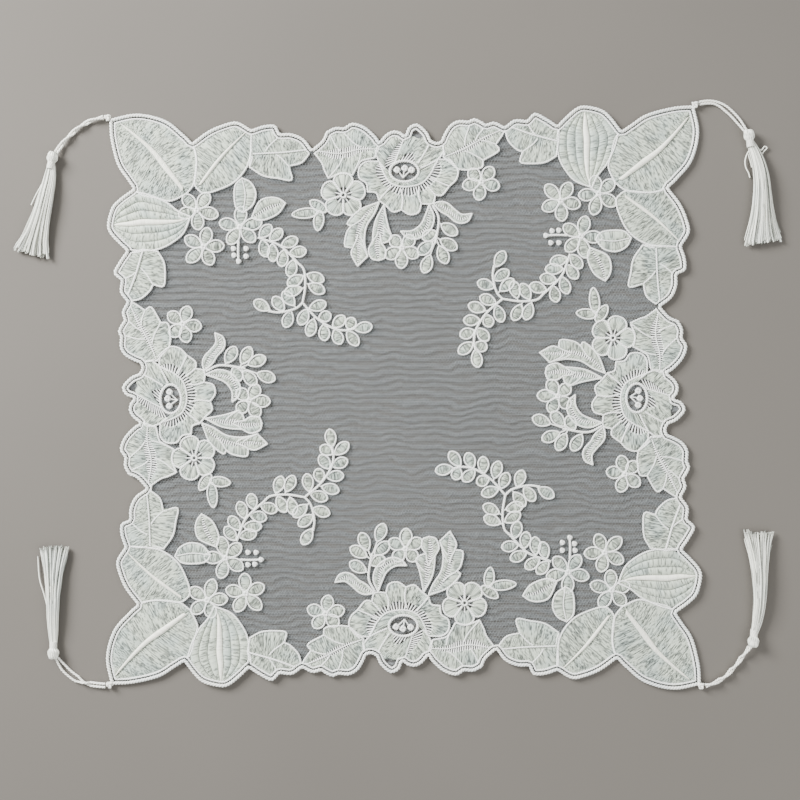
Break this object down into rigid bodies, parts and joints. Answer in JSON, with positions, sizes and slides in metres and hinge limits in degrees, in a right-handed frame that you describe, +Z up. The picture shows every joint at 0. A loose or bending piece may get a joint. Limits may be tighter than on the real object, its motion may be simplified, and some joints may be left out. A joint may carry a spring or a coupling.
{
  "type": "embroidered net square with corner tassels",
  "caption": "Flat square of sheer embroidered net with a scalloped corded edge and a hanging tassel at each corner.",
  "frame": {"origin": "centre of the cloth's underside, where it rests on the table", "axes": "+X towards the east side (the slightly longer way), +Y towards the north side, +Z up out of the cloth's embroidered front"},
  "size_m": [0.3883, 0.2984, 0.0062],
  "materials": {
    "net": "fine open mesh, matt",
    "embroidery": "satin stitch, soft sheen",
    "edge_cord": "wrapped cord, matt",
    "tassel_cord": "twisted cord, soft sheen",
    "tassel_floss": "silky floss, bright sheen"
  },
  "bodies": {
    "cloth": {"net_back": "net", "net_front": "net", "edge_cord": "edge_cord", "corner_leaf_nw": "embroidery", "pointed_leaf_nw": "embroidery", "striped_leaf_nw": "embroidery", "small_leaves_nw": "embroidery", "flower_vine_nw": "embroidery", "corner_leaf_ne": "embroidery", "pointed_leaf_ne": "embroidery", "striped_leaf_ne": "embroidery", "small_leaves_ne": "embroidery", "flower_vine_ne": "embroidery", "corner_leaf_se": "embroidery", "pointed_leaf_se": "embroidery", "striped_leaf_se": "embroidery", "small_leaves_se": "embroidery", "flower_vine_se": "embroidery", "corner_leaf_sw": "embroidery", "pointed_leaf_sw": "embroidery", "striped_leaf_sw": "embroidery", "small_leaves_sw": "embroidery", "flower_vine_sw": "embroidery", "rose_north": "embroidery", "serrated_leaves_north": "embroidery", "side_sprays_north": "embroidery", "rose_east": "embroidery", "serrated_leaves_east": "embroidery", "side_sprays_east": "embroidery", "rose_south": "embroidery", "serrated_leaves_south": "embroidery", "side_sprays_south": "embroidery", "rose_west": "embroidery", "serrated_leaves_west": "embroidery", "side_sprays_west": "embroidery"},
    "hitch_nw": {"corner_knot_nw": "tassel_cord"},
    "hanger_nw": {"tassel_cord_nw": "tassel_cord"},
    "tassel_nw": {"tassel_head_nw": "tassel_floss", "neck_wrap_nw": "tassel_floss", "tassel_skirt_nw": "tassel_floss"},
    "hitch_ne": {"corner_knot_ne": "tassel_cord"},
    "hanger_ne": {"tassel_cord_ne": "tassel_cord"},
    "tassel_ne": {"tassel_head_ne": "tassel_floss", "neck_wrap_ne": "tassel_floss", "tassel_skirt_ne": "tassel_floss"},
    "hitch_se": {"corner_knot_se": "tassel_cord"},
    "hanger_se": {"tassel_cord_se": "tassel_cord"},
    "tassel_se": {"tassel_head_se": "tassel_floss", "neck_wrap_se": "tassel_floss", "tassel_skirt_se": "tassel_floss"},
    "hitch_sw": {"corner_knot_sw": "tassel_cord"},
    "hanger_sw": {"tassel_cord_sw": "tassel_cord"},
    "tassel_sw": {"tassel_head_sw": "tassel_floss", "neck_wrap_sw": "tassel_floss", "tassel_skirt_sw": "tassel_floss"}
  },
  "joints": [
    {"name": "swing_nw", "type": "hinge", "parent": "cloth", "child": "hitch_nw", "pos_m": [-0.1494, 0.1416, 0.002], "axis": [0, 0, 1], "range_deg": [-105, 12]},
    {"name": "lift_nw", "type": "hinge", "parent": "hitch_nw", "child": "hanger_nw", "pos_m": [-0.1494, 0.1416, 0.002], "axis": [-0.871, 0.4912, 0], "range_deg": [-90, 90]},
    {"name": "sway_nw", "type": "hinge", "parent": "hanger_nw", "child": "tassel_nw", "pos_m": [-0.17688, 0.12112, 0.0029], "axis": [0, 0, 1], "range_deg": [-45, 20]},
    {"name": "swing_ne", "type": "hinge", "parent": "cloth", "child": "hitch_ne", "pos_m": [0.1472, 0.1482, 0.002], "axis": [0, 0, -1], "range_deg": [-105, 12]},
    {"name": "lift_ne", "type": "hinge", "parent": "hitch_ne", "child": "hanger_ne", "pos_m": [0.1472, 0.1482, 0.002], "axis": [-0.897, -0.4421, 0], "range_deg": [-90, 90]},
    {"name": "sway_ne", "type": "hinge", "parent": "hanger_ne", "child": "tassel_ne", "pos_m": [0.17405, 0.13226, 0.0029], "axis": [0, 0, -1], "range_deg": [-45, 20]},
    {"name": "swing_se", "type": "hinge", "parent": "cloth", "child": "hitch_se", "pos_m": [0.1502, -0.1452, 0.002], "axis": [0, 0, 1], "range_deg": [-105, 12]},
    {"name": "lift_se", "type": "hinge", "parent": "hitch_se", "child": "hanger_se", "pos_m": [0.1502, -0.1452, 0.002], "axis": [0.9362, -0.3514, 0], "range_deg": [-90, 90]},
    {"name": "sway_se", "type": "hinge", "parent": "hanger_se", "child": "tassel_se", "pos_m": [0.17626, -0.12256, 0.0029], "axis": [0, 0, 1], "range_deg": [-45, 20]},
    {"name": "swing_sw", "type": "hinge", "parent": "cloth", "child": "hitch_sw", "pos_m": [-0.1484, -0.1448, 0.002], "axis": [0, 0, -1], "range_deg": [-105, 12]},
    {"name": "lift_sw", "type": "hinge", "parent": "hitch_sw", "child": "hanger_sw", "pos_m": [-0.1484, -0.1448, 0.002], "axis": [0.9287, 0.3709, 0], "range_deg": [-90, 90]},
    {"name": "sway_sw", "type": "hinge", "parent": "hanger_sw", "child": "tassel_sw", "pos_m": [-0.17646, -0.12841, 0.0029], "axis": [0, 0, -1], "range_deg": [-45, 20]}
  ]
}
